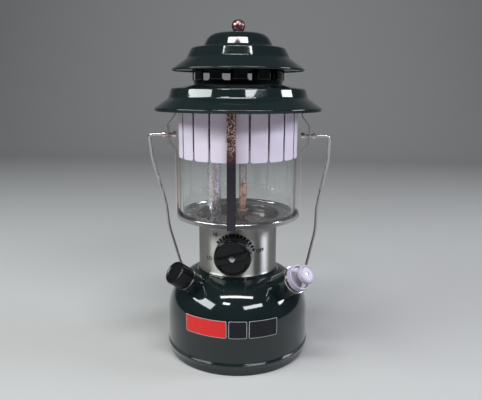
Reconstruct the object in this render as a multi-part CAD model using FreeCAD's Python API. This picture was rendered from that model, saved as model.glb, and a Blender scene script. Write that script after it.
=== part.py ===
import FreeCAD, Part
import os
from math import asin, atan, cos, pi, radians, sin, sqrt, tan

# White gas lantern with two mantles, in millimetres.
# The origin is on the table under the middle of the fount, +Z is up and the control knob faces -Y.
# An azimuth is measured round the Z axis from the front (-Y), positive towards +X.

V = FreeCAD.Vector
X_AXIS, Y_AXIS, Z_AXIS = V(1, 0, 0), V(0, 1, 0), V(0, 0, 1)
ORIGIN = V(0, 0, 0)

# Clearances
fit = 0.08              # radial clearance of a shaft that turns or slides in its bore
seam = 0.05             # gap between nested pieces that don't move
rest_gap = 0.3          # gap between the hanging bail and the fount
glass_play = 0.6        # gap round the foot of the globe

# Fount
fount_r = 76.6
fount_wall = 1.0
shoulder_arc = 47.3     # radius of the rounded shoulder
shoulder_slope = 19.5   # slope of the shoulder beside the collar seat, degrees
seat_z = 92.3           # top of the fount, where the collar stands
seat_r = 43.0
seat_step = 3.0         # height of the seat above the shoulder
fount_swell = 0.2       # growth of the wall's radius from the shoulder down to the bead
bead_z = 11.3
bead_height = 1.4
base_rim_r = 75.5       # lower edge of the wall
base_rim_z = 1.2
valve_hole_r = 11.0
pan_thick = 0.9
pan_hem = 7.0           # height of the pan's hem inside the wall
pan_ring = 4.3          # width of the ring that stands on the table
pan_rise = 5.5

# Collar round the valve
collar_r = 42.0
collar_wall = 0.8
collar_top = 143.4
collar_flange = 4.4
collar_foot = 0.8       # flare of the collar's lower edge
collar_hole_r = 8.5

# Dish that carries the globe
sheet = 0.9             # thickness of the dish and of the ventilator
dish_floor = 144.4
dish_well_r = 43.0
dish_ledge = 151.5
dish_r = 65.6
dish_lip = 2.4
dish_lip_slant, dish_rim_slant = 0.7, 0.5
dish_rim_z = 149.3
air_hole_r = 2.5
air_hole_ring = 53.0
air_holes = 12

# Uprights of the frame
strip_width = 8.5
strip_thick = 1.2
strip_play = 0.4        # gap between an upright's top and the ventilator above it
strip_tab = 3.5
strip_stand = 0.1       # gap between an upright and the dish's edge
ear_out = 7.6           # how far the ears stand outside the straight uprights
ear_low, ear_high = 227.4, 244.8
ear_slope = 10.0        # height of the slanted runs below and above an ear
foot_end = 50.5
foot_step, foot_hook = 5.0, 3.0     # from the dish's edge to the ends of the step in a foot
rivet_r = 1.4
rivet_head_r = 2.4
rivet_ring = 54.0
rivet_head = 0.8

# Globe
globe_r = 62.0
globe_wall = 2.8
globe_height = 117.3
globe_gap = 0.1

# Bail
pivot_z = 234.3
wire_r = 1.75
bail_reach = 212.0      # from the pivot line to the point where the grip's two runs meet
bail_hip = 95.4         # half the width below the corners
bail_waist = 86.6       # half the width at the waist
grip_half = 74.0        # half the width of the grip between its unrounded corners
grip_rise = 7.0         # height of those corners above the middle of the grip
grip_bend = 38.0
grip_bow = 300.0        # radius of the arc that rounds the middle of the grip
hip_end, waist_start, waist_end = 30.0, 88.0, 122.0
corner_bend = 4.5
head_r, head_length = 3.4, 3.6
head_inset = 3.9        # from the ear's inner face to the head
bail_collar_r, bail_collar_length = 3.0, 2.6
bail_collar_out = 3.2   # from the ear's outer face to the collar

# Ventilator
hat_hole_r = 3.0
hat_top = 337.1
hat_fall = 1.0          # fall of the top from its middle to its edge
hat_crown_r, hat_crown_foot_r = 29.0, 36.0
hat_crown_foot_z = 323.4
hat_ledge_r, hat_ledge_z = 47.9, 321.8
hat_band_r, hat_band_z = 53.0, 312.1
hat_rim_r, hat_rim_z = 68.2, 301.2
hat_edge = 1.6          # depth of the rim's turned edge
drum_r = 47.0
drum_foot_r = 45.6
drum_flare_z = 291.0
drum_play = 0.2         # gap between the drum and the upper hat
window_low, window_high = 289.8, 305.0
windows = 12
window_width = 11.0
window_depth, window_bend = 12.0, 3.0
window_turn = -7.0      # azimuth of the window nearest the front
skirt_hole_r = 36.0
skirt_top_z = 288.8
skirt_ledge_r, skirt_ledge_z = 69.2, 282.2
skirt_band_r, skirt_band_z = 71.9, 273.2
skirt_rim_r, skirt_rim_z = 86.6, 262.9
skirt_edge = 3.0
edge_draw = 0.25        # how far both rims' turned edges draw in

# Ball nut and its stud
stud_r = 2.4
stud_end = 346.0
stud_room = 0.3         # room above the stud in the nut
nut_neck_r = 4.8
nut_ball_r, nut_ball_z = 6.8, 343.7
nut_top = 350.1
nut_flat = 0.66         # radius where the flattened top starts, as a share of the ball's
lock_nut_flats, lock_nut_height = 8.0, 3.5

# Burner
tube_x = -25.5
tube_r, tube_wall = 7.45, 0.7
tube_foot = 137.9
tube_entry = 4.0        # depth of the air tube in the manifold
manifold_z = 263.6
manifold_r = 8.5
boss_r, boss_height = 5.0, 1.5
generator_x = 5.5
generator_r = 3.2
generator_base_r, generator_base_top = 4.1, 184.8
generator_nut_flats, generator_nut_height = 12.0, 7.5
generator_thread_r = 3.4
mantle_y = 24.0
burner_r = 6.5
burner_foot = 254.2
cap_ring_r, cap_ring_height = 8.4, 7.0
cap_overlap = 0.8       # how far the ring goes up round the burner tube
screen_thick = 0.8
mantle_r, mantle_low = 16.0, 216.3
mantle_drop = 0.2

# Valve
knob_z = 117.4
valve_flange_r, valve_flange = 14.0, 3.0
valve_column_r = 9.0
dish_hole_r = 11.5      # hole in the dish for the valve's outlet
outlet_rise = 3.0       # height of the valve's outlet above the dish
outlet_wall = 0.9
valve_block_width, valve_block_depth, valve_block_height = 27.0, 19.0, 20.0
valve_block_side = 8.0  # from the generator's middle line to the block's side
valve_block_bend = 2.0
pickup_entry = 6.0      # depth of the pickup tube in the valve
valve_boss_r, valve_boss_out = 6.5, 24.0
valve_thread_low = 83.0
stem_r, stem_inner, stem_outer = 2.0, 6.0, 55.0
stem_room = 1.0         # room before the stem's tip
packing_flats, packing_length = 12.0, 7.0
knob_r, knob_taper = 19.4, 0.9
knob_back, knob_face = 44.5, 58.5
knob_wall = 1.8
knob_hub_r = 5.0
knob_bar_width, knob_bar_height = 7.5, 3.6
knob_bar_inset, knob_bar_root, knob_bar_bend = 2.0, 1.8, 1.6
knob_bar_turn = 15.0    # the bar's right end stands this much above the level, degrees
knob_flutes, flute_r = 30, 1.1
screw_head_r, screw_head = 3.2, 1.6
screw_r = 1.4
screw_length = 9.0
pickup_r, pickup_wall, pickup_low = 3.0, 0.8, 10.5

# Pump: distances along its axis, from the middle line of the lantern
pump_azimuth, pump_slope, pump_z = 51.0, 34.0, 41.0
socket_wall = 1.0
pump_socket_r, pump_mouth = 13.2, 96.0
barrel_r, barrel_wall, barrel_inner_end = 10.1, 0.6, 22.0
barrel_flange_r, barrel_flange = 13.9, 1.0
clip_r, clip_wire_r, clip_open = 11.6, 0.6, 60.0
pump_cap_r, pump_cap_length, pump_cap_rim = 13.4, 6.4, 1.7
pump_cap_gap = 2.0      # room for the clip under the cap
pump_cap_spigot = 7.0
rod_r, rod_inner_end = 3.2, 30.0
plunger_gap, plunger_length, plunger_r = 3.6, 6.6, 9.7
rod_cover, stem_depth = 3.0, 1.2     # from the button's face to the ends of the rod and the air stem
air_stem_r = 1.7
cup_length = 6.0
check_length, check_r = 8.0, 6.0
check_seat = 3.0

# Fuel filler and its cap, along the filler's axis
cap_azimuth, cap_slope, cap_z = -45.2, 37.0, 39.3
cap_socket_r, cap_mouth = 11.4, 86.0
neck_r, neck_bore_r, neck_end = 9.8, 7.6, 100.0
neck_depth = 13.0       # length of the neck inside its socket
neck_flange_r, neck_flange = 12.1, 1.0
cap_r, cap_skirt, cap_end = 12.0, 0.4, 103.7
cap_top = 2.2
cap_flutes, cap_flute_r = 26, 0.8
gasket_thick = 1.2
plug_length = 5.0


def unit(vector):
    return vector * (1 / vector.Length)


def line(start, end):
    return Part.LineSegment(start, end).toShape()


def rounded(points, radii):
    """Edges of a path of straight runs joined by tangent arcs, with one radius per inner point."""
    runs = [after - before for before, after in zip(points, points[1:])]
    halves = [before.getAngle(after) / 2 for before, after in zip(runs, runs[1:])]
    cuts = [0] + [radius * tan(half) for radius, half in zip(radii, halves)] + [0]
    for i, run in enumerate(runs):
        share = (cuts[i] + cuts[i + 1]) / (0.999 * run.Length)
        if share > 1:
            cuts[i] /= share
            cuts[i + 1] /= share
    edges, last = [], points[0]
    for before, after, corner, half, cut in zip(runs, runs[1:], points[1:-1], halves, cuts[1:-1]):
        if cut < 0.001:
            edges.append(line(last, corner))
            last = corner
            continue
        start, end = corner - unit(before) * cut, corner + unit(after) * cut
        inward = unit(unit(after) - unit(before))
        middle = corner + inward * (cut / sin(half) - cut / tan(half))
        if (start - last).Length > 0.001:
            edges.append(line(last, start))
        edges.append(Part.Arc(start, middle, end).toShape())
        last = end
    edges.append(line(last, points[-1]))
    return edges


def beside(points, distance, normal):
    """The path moved sideways by a distance, with mitred corners."""
    sides = [normal.cross(unit(after - before)) for before, after in zip(points, points[1:])]
    moved = [points[0] + sides[0] * distance]
    for point, before, after in zip(points[1:-1], sides, sides[1:]):
        moved.append(point + (before + after) * (distance / (1 + before.dot(after))))
    return moved + [points[-1] + sides[-1] * distance]


def bent_sheet(points, radii, thickness):
    """Face of a bent sheet cut across: points (x, z) of one surface, the other lies to its left."""
    path = [V(x, 0, z) for x, z in points]
    turned = -Y_AXIS
    other = beside(path, thickness, turned)
    runs = [after - before for before, after in zip(path, path[1:])]
    other_radii = []
    for radius, before, after in zip(radii, runs, runs[1:]):
        left = before.cross(after).dot(turned) > 0
        other_radii.append(max(0, radius - thickness if left else radius + thickness))
    edges = rounded(path, radii) + [line(path[-1], other[-1])]
    edges += rounded(other[::-1], other_radii[::-1]) + [line(other[0], path[0])]
    return Part.Face(Part.Wire(edges))


def turned_face(face):
    """Full turn of a face about the Z axis."""
    return face.revolve(ORIGIN, Z_AXIS, 360)


def turned(*steps):
    """Full turn of a closed outline. A step is a point (r, z), or a middle and an end point of an arc."""
    here = V(steps[0][0], 0, steps[0][1])
    first, edges = here, []
    for step in steps[1:]:
        if isinstance(step[0], tuple):
            middle, end = (V(r, 0, z) for r, z in step)
            edges.append(Part.Arc(here, middle, end).toShape())
        else:
            end = V(step[0], 0, step[1])
            edges.append(line(here, end))
        here = end
    if (here - first).Length > 0.001:
        edges.append(line(here, first))
    return turned_face(Part.Face(Part.Wire(edges)))


def domed(r, z, top):
    """Arc step of a round cap whose centre lies on the axis, from (r, z) up or down to (0, top)."""
    rise = top - z
    ball = (r * r + rise * rise) / (2 * rise)
    half = asin(r / abs(ball)) / 2
    return (abs(ball) * sin(half), top - ball + ball * cos(half)), (0, top)


def rod(radius, low, high, x=0, y=0):
    return Part.makeCylinder(radius, high - low, V(x, y, low))


def pipe(outer, inner, low, high, x=0, y=0):
    return rod(outer, low, high, x, y).cut(rod(inner, low, high, x, y))


def swept(edges, radius):
    """Round bar of a radius along a path of edges."""
    path = Part.Wire(edges)
    start = path.OrderedEdges[0]
    ring = Part.Wire(Part.Circle(start.valueAt(start.FirstParameter),
                                 start.tangentAt(start.FirstParameter), radius).toShape())
    return path.makePipeShell([ring], True, False)


def hexagon(flats, low, high, x=0, y=0):
    corners = [V(x + flats / sqrt(3) * cos(radians(60 * i)), y + flats / sqrt(3) * sin(radians(60 * i)), low)
               for i in range(7)]
    return Part.Face(Part.makePolygon(corners)).extrude(V(0, 0, high - low))


def around(shape, degrees):
    """Copy of a shape turned about the Z axis, positive from the front towards +X."""
    copy = shape.copy()
    copy.rotate(ORIGIN, Z_AXIS, degrees)
    return copy


def outward(shape, azimuth, slope, height):
    """Shape built along +Z, laid along a sloping axis that starts on the middle line at a height."""
    direction = V(cos(radians(slope)) * sin(radians(azimuth)),
                  -cos(radians(slope)) * cos(radians(azimuth)), sin(radians(slope)))
    copy = shape.copy()
    copy.Placement = FreeCAD.Placement(V(0, 0, height), FreeCAD.Rotation(Z_AXIS, direction))
    return copy


def on_pump(shape):
    return outward(shape, pump_azimuth, pump_slope, pump_z)


def on_filler(shape):
    return outward(shape, cap_azimuth, cap_slope, cap_z)


def on_knob(shape):
    return outward(shape, 0, 0, knob_z)


def flutes(count, ring, radius, low, high):
    """Rods in a ring that cut the flutes of a grip."""
    return [around(rod(radius, low, high, ring), 360 * i / count) for i in range(count)]


# Fount

def fount_outline():
    """Points of the fount's outer surface from the valve hole to the lower rim, with their bends."""
    step_z = seat_z - seat_step
    step_r = seat_r + seat_step / 2
    corner_z = step_z - (fount_r - step_r) * tan(radians(shoulder_slope))
    points = [(valve_hole_r, seat_z), (seat_r, seat_z), (step_r, step_z), (fount_r, corner_z),
              (fount_r + fount_swell, bead_z + 3.5), (fount_r + bead_height, bead_z),
              (fount_r, bead_z - 4.0), (base_rim_r, base_rim_z)]
    return points, [1.6, 0.8, shoulder_arc, 4.0, 2.0, 3.0]


def fount_shell():
    """Drawn shell with its shoulder and the two sockets for the pump and the filler."""
    points, radii = fount_outline()
    path = [V(r, 0, z) for r, z in points]
    skin = rounded(path, radii)
    closing = [line(path[-1], V(0, 0, base_rim_z)), line(V(0, 0, base_rim_z), V(0, 0, seat_z)),
               line(V(0, 0, seat_z), path[0])]
    outside = turned_face(Part.Face(Part.Wire(skin + closing)))
    wall = turned_face(bent_sheet(points[::-1], radii[::-1], fount_wall))
    inside = outside.cut(wall)
    start = pump_socket_r * 3
    sockets = [on_pump(rod(pump_socket_r, start, pump_mouth)), on_filler(rod(cap_socket_r, start, cap_mouth))]
    bores = [on_pump(rod(pump_socket_r - socket_wall, start, pump_mouth + 1)),
             on_filler(rod(cap_socket_r - socket_wall, start, cap_mouth + 1))]
    return wall.fuse([socket.cut(inside) for socket in sockets]).cut(bores).removeSplitter()


def fount_base():
    """Pan that closes the fount: a hem inside the wall, a ring to stand on and a raised middle."""
    hem_r = base_rim_r - fount_wall - seam
    ring_r = hem_r - pan_ring
    return turned_face(bent_sheet([(hem_r, pan_hem), (hem_r, 0), (ring_r, 0), (ring_r - 1.5, pan_rise),
                                   (0, pan_rise + 2)][::-1], [1.5, 1.5, 1.5], pan_thick))


def filler_neck():
    tube = pipe(neck_r, neck_bore_r, cap_mouth - neck_depth, neck_end)
    flange = pipe(neck_flange_r, neck_r, cap_mouth, cap_mouth + neck_flange)
    return on_filler(tube.fuse(flange).removeSplitter())


def pump_barrel():
    tube = pipe(barrel_r, barrel_r - barrel_wall, barrel_inner_end, pump_mouth + barrel_flange)
    flange = pipe(barrel_flange_r, barrel_r, pump_mouth, pump_mouth + barrel_flange)
    return on_pump(tube.fuse(flange).removeSplitter())


def check_valve():
    """Valve that closes the inner end of the barrel, with the seat of the air stem."""
    low = barrel_inner_end - check_length
    body = turned((0, low), (check_r - 2, low), (check_r, low + 2), (check_r, barrel_inner_end - 2),
                  (barrel_r, barrel_inner_end - 2), (barrel_r, barrel_inner_end), (0, barrel_inner_end))
    return on_pump(body.cut(rod(air_stem_r + fit, barrel_inner_end - check_seat, barrel_inner_end)))


def pump_clip():
    """Open wire ring that holds the pump cap."""
    level = pump_mouth + barrel_flange + pump_cap_gap / 2
    angles = [radians(clip_open / 2 + (360 - clip_open) * i / 2) for i in range(3)]
    start, middle, end = (V(clip_r * cos(a), clip_r * sin(a), level) for a in angles)
    return on_pump(swept([Part.Arc(start, middle, end).toShape()], clip_wire_r))


def pump_cap_front():
    return pump_mouth + barrel_flange + pump_cap_gap + pump_cap_length


def plunger_back():
    return pump_cap_front() + plunger_gap


def pump_cap():
    """Plastic cap of the pump: a spigot in the barrel, a rimmed flange and a guide for the rod."""
    low = pump_mouth + barrel_flange
    back = low + pump_cap_gap
    front = pump_cap_front()
    floor = front - 2.4
    bore = rod_r + fit
    spigot_r = barrel_r - barrel_wall - seam
    return on_pump(turned((bore, low - pump_cap_spigot), (spigot_r, low - pump_cap_spigot), (spigot_r, back),
                          (pump_cap_r - 0.8, back), (pump_cap_r, back + 0.8), (pump_cap_r, front - 0.8),
                          ((pump_cap_r - 0.25, front - 0.25), (pump_cap_r - 0.8, front)),
                          (pump_cap_r - pump_cap_rim, front), (pump_cap_r - pump_cap_rim - 1, floor),
                          (rod_r + 2.6, floor), (rod_r + 2.0, front - 1.0), (bore, front - 1.0)))


def valve_body():
    """Brass valve: thread in the fount, flange, column, block with the stem boss and outlet spigot."""
    stack = turned((0, valve_thread_low), (valve_hole_r - seam, valve_thread_low), (valve_hole_r - seam, seat_z),
                   (valve_flange_r, seat_z), (valve_flange_r, seat_z + valve_flange),
                   (valve_column_r, seat_z + valve_flange), (valve_column_r, knob_z), (0, knob_z))
    block = Part.makeBox(valve_block_width, valve_block_depth, valve_block_height,
                         V(generator_x - valve_block_width + valve_block_side, -valve_block_depth / 2,
                           knob_z - valve_block_height / 2))
    block = block.makeFillet(valve_block_bend, block.Edges)
    boss = on_knob(rod(valve_boss_r, 0, valve_boss_out))
    spigot = rod(generator_base_r + outlet_wall, knob_z, dish_floor + outlet_rise, generator_x)
    body = stack.fuse([block, boss, spigot]).removeSplitter()
    feed = rod(pickup_r, valve_thread_low, valve_thread_low + pickup_entry)
    return body.cut([on_knob(rod(stem_r + fit, stem_inner - stem_room, valve_boss_out)), feed])


def packing_nut():
    nut = hexagon(packing_flats, valve_boss_out, valve_boss_out + packing_length)
    return on_knob(nut.cut(rod(stem_r + fit, valve_boss_out, valve_boss_out + packing_length)))


def pickup_tube():
    """Fuel tube from the valve to just above the fount's floor, with a slanted lower end."""
    tube = pipe(pickup_r - seam, pickup_r - pickup_wall, pickup_low, valve_thread_low + pickup_entry)
    wedge = Part.makeBox(20, 20, 6, V(-10, -10, pickup_low - 6))
    wedge.rotate(V(0, 0, pickup_low + 1), Y_AXIS, 25)
    return tube.cut(wedge)


def collar():
    """Bright band round the valve, flared at its foot and turned in under the dish."""
    foot_z = seat_z + collar_wall * collar_foot / 2
    points = [(collar_r + collar_foot, foot_z), (collar_r, seat_z + 2), (collar_r, collar_top),
              (collar_r - collar_flange, collar_top)]
    band = turned_face(bent_sheet(points, [1.0, 1.2], collar_wall))
    return band.cut(on_knob(rod(collar_hole_r, collar_r - 8, collar_r + 8)))


# Frame

def frame_base():
    """Dish: a well on the collar, a ledge for the globe, a lip and a rim turned down."""
    lip_r = globe_r + glass_play
    points = [(dish_hole_r, dish_floor), (dish_well_r, dish_floor), (dish_well_r + 1.4, dish_ledge),
              (lip_r, dish_ledge), (lip_r + dish_lip_slant, dish_ledge + dish_lip),
              (dish_r - dish_rim_slant, dish_ledge + dish_lip),
              (dish_r, dish_rim_z)]
    dish = turned_face(bent_sheet(points[::-1], [0.9, 0.9, 0.5, 2.0, 2.0], sheet))
    low, high = dish_floor - 5, dish_ledge + 1
    holes = [rod(tube_r + seam, low, high, tube_x)]
    holes += [around(rod(air_hole_r, low, high, 0, -air_hole_ring), 360 * (i + 0.5) / air_holes)
              for i in range(air_holes)]
    holes += [around(rod(rivet_r, low, high, 0, -rivet_ring), 90 * i) for i in range(4)]
    return dish.cut(holes)


def strip_middle():
    return dish_r + strip_stand + strip_thick / 2


def upright(ears):
    """Flat strip that stands in front of the dish: hooked under its rim, bent in at the top."""
    r = strip_middle()
    under = dish_ledge - sheet - strip_thick / 2
    below = dish_rim_z - 0.05 - strip_thick / 2
    carried = slope_height(r + strip_thick / 2, skirt_hole_r, skirt_top_z, skirt_ledge_r, skirt_ledge_z) - sheet
    top = carried - strip_play - strip_thick / 2
    points = [(foot_end, under), (dish_r - foot_step, under), (dish_r - foot_hook, below), (r, below)]
    radii = [1.0, 1.0, 1.0]
    if ears:
        points += [(r, ear_low - ear_slope), (r + ear_out, ear_low), (r + ear_out, ear_high),
                   (r, ear_high + ear_slope)]
        radii += [4.0, 4.0, 4.0, 4.0]
    points += [(r, top), (r - strip_tab, top)]
    radii += [1.0]
    path = [V(x, 0, z) for x, z in points]
    right = beside(path, strip_thick / 2, Y_AXIS)
    face = bent_sheet([(p.x, p.z) for p in right], radii, strip_thick)
    strip = face.extrude(V(0, strip_width, 0))
    strip.translate(V(0, -strip_width / 2, 0))
    strip = strip.cut(rod(rivet_r, dish_rim_z - 2, dish_ledge, rivet_ring))
    if ears:
        strip = strip.cut(Part.makeCylinder(wire_r + fit, 10, V(r + ear_out - 5, 0, pivot_z), X_AXIS))
    return strip


def frame_rivets():
    """Four rivets that hold the feet of the uprights under the dish."""
    top, bottom = dish_ledge, dish_ledge - sheet - strip_thick
    rivet = turned((0, bottom - rivet_head), (rivet_head_r, bottom - rivet_head), (rivet_head_r, bottom),
                   (rivet_r, bottom), (rivet_r, top), (rivet_head_r, top), domed(rivet_head_r, top, top + rivet_head))
    rivet.translate(V(0, -rivet_ring, 0))
    return Part.makeCompound([around(rivet, 90 * i) for i in range(4)])


# Burner

def air_tube():
    """Tube from below the dish up to the elbow that opens into the manifold."""
    entry_x = generator_x - 2 * manifold_r + tube_entry
    points = [V(tube_x, 0, tube_foot), V(tube_x, 0, manifold_z), V(entry_x, 0, manifold_z)]
    edges = rounded(points, [manifold_r + 2])
    return swept(edges, tube_r).cut(swept(edges, tube_r - tube_wall))


def boss_top():
    return manifold_z + manifold_r + boss_height


def burner_manifold():
    """Mixing chamber with a cross tube and two burner tubes that point down."""
    start = generator_x - 2 * manifold_r
    chamber = Part.makeCylinder(manifold_r, 3 * manifold_r, V(start, 0, manifold_z), X_AXIS)
    chamber = chamber.makeFillet(2.5, [e for e in chamber.Edges if e.CenterOfMass.x > generator_x])
    cross = rounded([V(generator_x, -mantle_y, burner_foot), V(generator_x, -mantle_y, manifold_z),
                     V(generator_x, mantle_y, manifold_z), V(generator_x, mantle_y, burner_foot)],
                    [burner_r + 1] * 2)
    boss = rod(boss_r, manifold_z, boss_top())
    body = chamber.fuse([swept(cross, burner_r), boss]).removeSplitter()
    hollow = swept(cross, burner_r - 1)
    inlet = Part.makeCylinder(tube_r + seam, 2 * manifold_r, V(start, 0, manifold_z), X_AXIS)
    jet = rod(generator_r + seam, manifold_z - manifold_r - 1, manifold_z, generator_x)
    return body.cut([hollow, inlet, jet])


def ring_low():
    return burner_foot + cap_overlap - cap_ring_height


def burner_caps():
    """Two rings under the burner tubes, each with a groove that holds a mantle's string."""
    top = burner_foot + cap_overlap
    low = ring_low()
    ring = turned((burner_r - 1, low), (cap_ring_r, low), (cap_ring_r, low + 1.6), (cap_ring_r - 1, low + 2.4),
                  (cap_ring_r - 1, low + 3.6), (cap_ring_r, low + 4.4), (cap_ring_r, top),
                  (burner_r + seam, top), (burner_r + seam, burner_foot - seam), (burner_r - 1, burner_foot - seam))
    return at_burners(ring)


def burner_screens():
    """Two perforated discs inside the mouths of the burner caps."""
    low = ring_low()
    disc = rod(burner_r - 1 - seam, low + 1, low + 1 + screen_thick)
    holes = [around(rod(0.8, low, low + 3, 3.4), 60 * i) for i in range(6)] + [rod(0.8, low, low + 3)]
    return at_burners(disc.cut(holes))


def mantles():
    """Two mantles: bags tied to the burner caps, as plain closed solids."""
    neck_z = ring_low() - mantle_drop
    wide_z = (mantle_low + neck_z) / 2
    low = mantle_low
    bag = turned((0, neck_z), (cap_ring_r - 1.6, neck_z),
                 ((mantle_r - 2.0, neck_z - 7.0), (mantle_r, wide_z)), domed(mantle_r, wide_z, low))
    return at_burners(bag)


def at_burners(shape):
    copies = []
    for side in (-1, 1):
        copy = shape.copy()
        copy.translate(V(generator_x, side * mantle_y, 0))
        copies.append(copy)
    return Part.makeCompound(copies)


def generator():
    low = dish_floor + outlet_rise
    shoulder = low + generator_nut_height
    tube = turned((0, low), (generator_thread_r, low), (generator_thread_r, shoulder), (generator_base_r, shoulder),
                  (generator_base_r, generator_base_top - 3), (generator_r, generator_base_top),
                  (generator_r, manifold_z - 3), (0, manifold_z - 1.5))
    return tube.translated(V(generator_x, 0, 0))


def generator_nut():
    low = dish_floor + outlet_rise
    nut = hexagon(generator_nut_flats, low, low + generator_nut_height, generator_x)
    return nut.cut(rod(generator_thread_r + seam, low, low + generator_nut_height, generator_x))


def centre_stud():
    return rod(stud_r, boss_top(), stud_end)


def stud_lock_nut():
    low = boss_top()
    return hexagon(lock_nut_flats, low, low + lock_nut_height).cut(rod(stud_r + seam, low, low + lock_nut_height))


# Ventilator, globe and ball nut

def ventilator_cap():
    """Upper hat: flat crown, ledge, band and a flared brim with a turned edge."""
    points = [(hat_hole_r, hat_top), (hat_crown_r, hat_top - hat_fall), (hat_crown_foot_r, hat_crown_foot_z),
              (hat_ledge_r, hat_ledge_z), (hat_band_r, hat_band_z), (hat_rim_r, hat_rim_z),
              (hat_rim_r - edge_draw, hat_rim_z - hat_edge)]
    return turned_face(bent_sheet(points[::-1], [1.0, 4.0, 2.5, 2.5, 12.0], sheet))


def ventilator_skirt():
    """Lower hat over the globe: sloping top, short band and a wide flared brim."""
    points = [(skirt_hole_r, skirt_top_z), (skirt_ledge_r, skirt_ledge_z), (skirt_band_r, skirt_band_z),
              (skirt_rim_r, skirt_rim_z), (skirt_rim_r - edge_draw, skirt_rim_z - skirt_edge)]
    return turned_face(bent_sheet(points[::-1], [1.2, 4.0, 2.4], sheet))


def slope_height(r, low_r, low_z, high_r, high_z):
    """Height at a radius of the straight run between two points."""
    return low_z + (high_z - low_z) * (r - low_r) / (high_r - low_r)


def ventilator_drum():
    """Drum between the hats, drawn in at its foot, with windows for the hot gas."""
    foot_z = slope_height(drum_foot_r, skirt_hole_r, skirt_top_z, skirt_ledge_r, skirt_ledge_z)
    top_z = slope_height(drum_r, hat_crown_foot_r, hat_crown_foot_z, hat_ledge_r, hat_ledge_z)
    top_z -= sheet + drum_play
    points = [(drum_foot_r, foot_z), (drum_r, drum_flare_z), (drum_r, top_z)]
    drum = turned_face(bent_sheet(points, [4.0], sheet))
    slot = Part.makeBox(window_width, window_depth, window_high - window_low,
                        V(-window_width / 2, -drum_r - window_depth / 3, window_low))
    slot = slot.makeFillet(window_bend, [e for e in slot.Edges if abs(e.tangentAt(e.FirstParameter).y) > 0.9])
    return drum.cut([around(slot, window_turn + 360 * i / windows) for i in range(windows)])


def ball_nut():
    """Ball nut on the stud: a short neck, a ball and a flattened top."""
    low = hat_top + seam
    side = sqrt(nut_ball_r ** 2 - nut_neck_r ** 2)
    upper_r = nut_ball_r * nut_flat
    upper_z = nut_ball_z + nut_ball_r * sqrt(1 - nut_flat ** 2)
    nut = turned((0, low), (nut_neck_r, low), (nut_neck_r, nut_ball_z - side),
                 ((nut_ball_r, nut_ball_z), (upper_r, upper_z)),
                 domed(upper_r, upper_z, nut_top))
    return nut.cut(rod(stud_r + fit, low, stud_end + stud_room))


def globe():
    """Straight glass cylinder with rounded edges."""
    low = dish_ledge + globe_gap
    high = low + globe_height
    lip = globe_wall / 2
    inner = globe_r - globe_wall
    return turned((globe_r, low + lip), (globe_r, high - lip), ((globe_r - lip, high), (inner, high - lip)),
                  (inner, low + lip), ((globe_r - lip, low), (globe_r, low + lip)))


# Bail

def bail_place(shape):
    """Shape built hanging straight down from the pivot line, leaned back onto the fount."""
    bow_rise = grip_bow * (1 / cos(atan(grip_rise / grip_half)) - 1)
    lean = asin((fount_r + fount_swell + wire_r + rest_gap) / (bail_reach - bow_rise))
    copy = shape.copy()
    copy.rotate(V(0, 0, pivot_z), X_AXIS, lean * 180 / pi)
    return copy


def ear_faces():
    """Inner and outer face of an ear, measured from the middle plane."""
    middle = strip_middle() + ear_out
    return middle - strip_thick / 2, middle + strip_thick / 2


def bail_wire():
    """Wire through both ears, out to the corners, down, in at the waist and round the grip."""
    half = [(wire_end(), 0), (bail_hip, 0), (bail_hip, hip_end), (bail_waist, waist_start), (bail_waist, waist_end),
            (grip_half, bail_reach - grip_rise)]
    radii = [corner_bend, 60.0, 80.0, 100.0, grip_bend]
    right = [V(x, 0, pivot_z - down) for x, down in half]
    left = [V(-point.x, 0, point.z) for point in reversed(right)]
    low = V(0, 0, pivot_z - bail_reach)
    return bail_place(swept(rounded(right + [low] + left, radii + [grip_bow] + radii[::-1]), wire_r))


def bail_rings(radius, inner, outer, bore_start):
    """Two rings on the wire, one on each side, bored from a distance outwards."""
    rings = []
    for side in (-1, 1):
        axis = V(side, 0, 0)
        ring = Part.makeCylinder(radius, outer - inner, V(side * inner, 0, pivot_z), axis)
        bore = Part.makeCylinder(wire_r, outer - bore_start, V(side * bore_start, 0, pivot_z), axis)
        rings.append(bail_place(ring.cut(bore)))
    return Part.makeCompound(rings)


def wire_end():
    """Distance of the wire's end from the middle plane, inside its head."""
    return ear_faces()[0] - head_inset - head_length / 2


def bail_heads():
    """Heads on the wire's ends, inside the ears."""
    outer = ear_faces()[0] - head_inset
    return bail_rings(head_r, outer - head_length, outer, wire_end())


def bail_collars():
    """Collars on the wire outside the ears."""
    inner = ear_faces()[1] + bail_collar_out
    return bail_rings(bail_collar_r, inner, inner + bail_collar_length, inner)


# Control

def screw_seat():
    """Distance of the screw's seat, sunk in the bar."""
    return knob_face - knob_bar_root + knob_bar_height + 1 - screw_head


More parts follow.
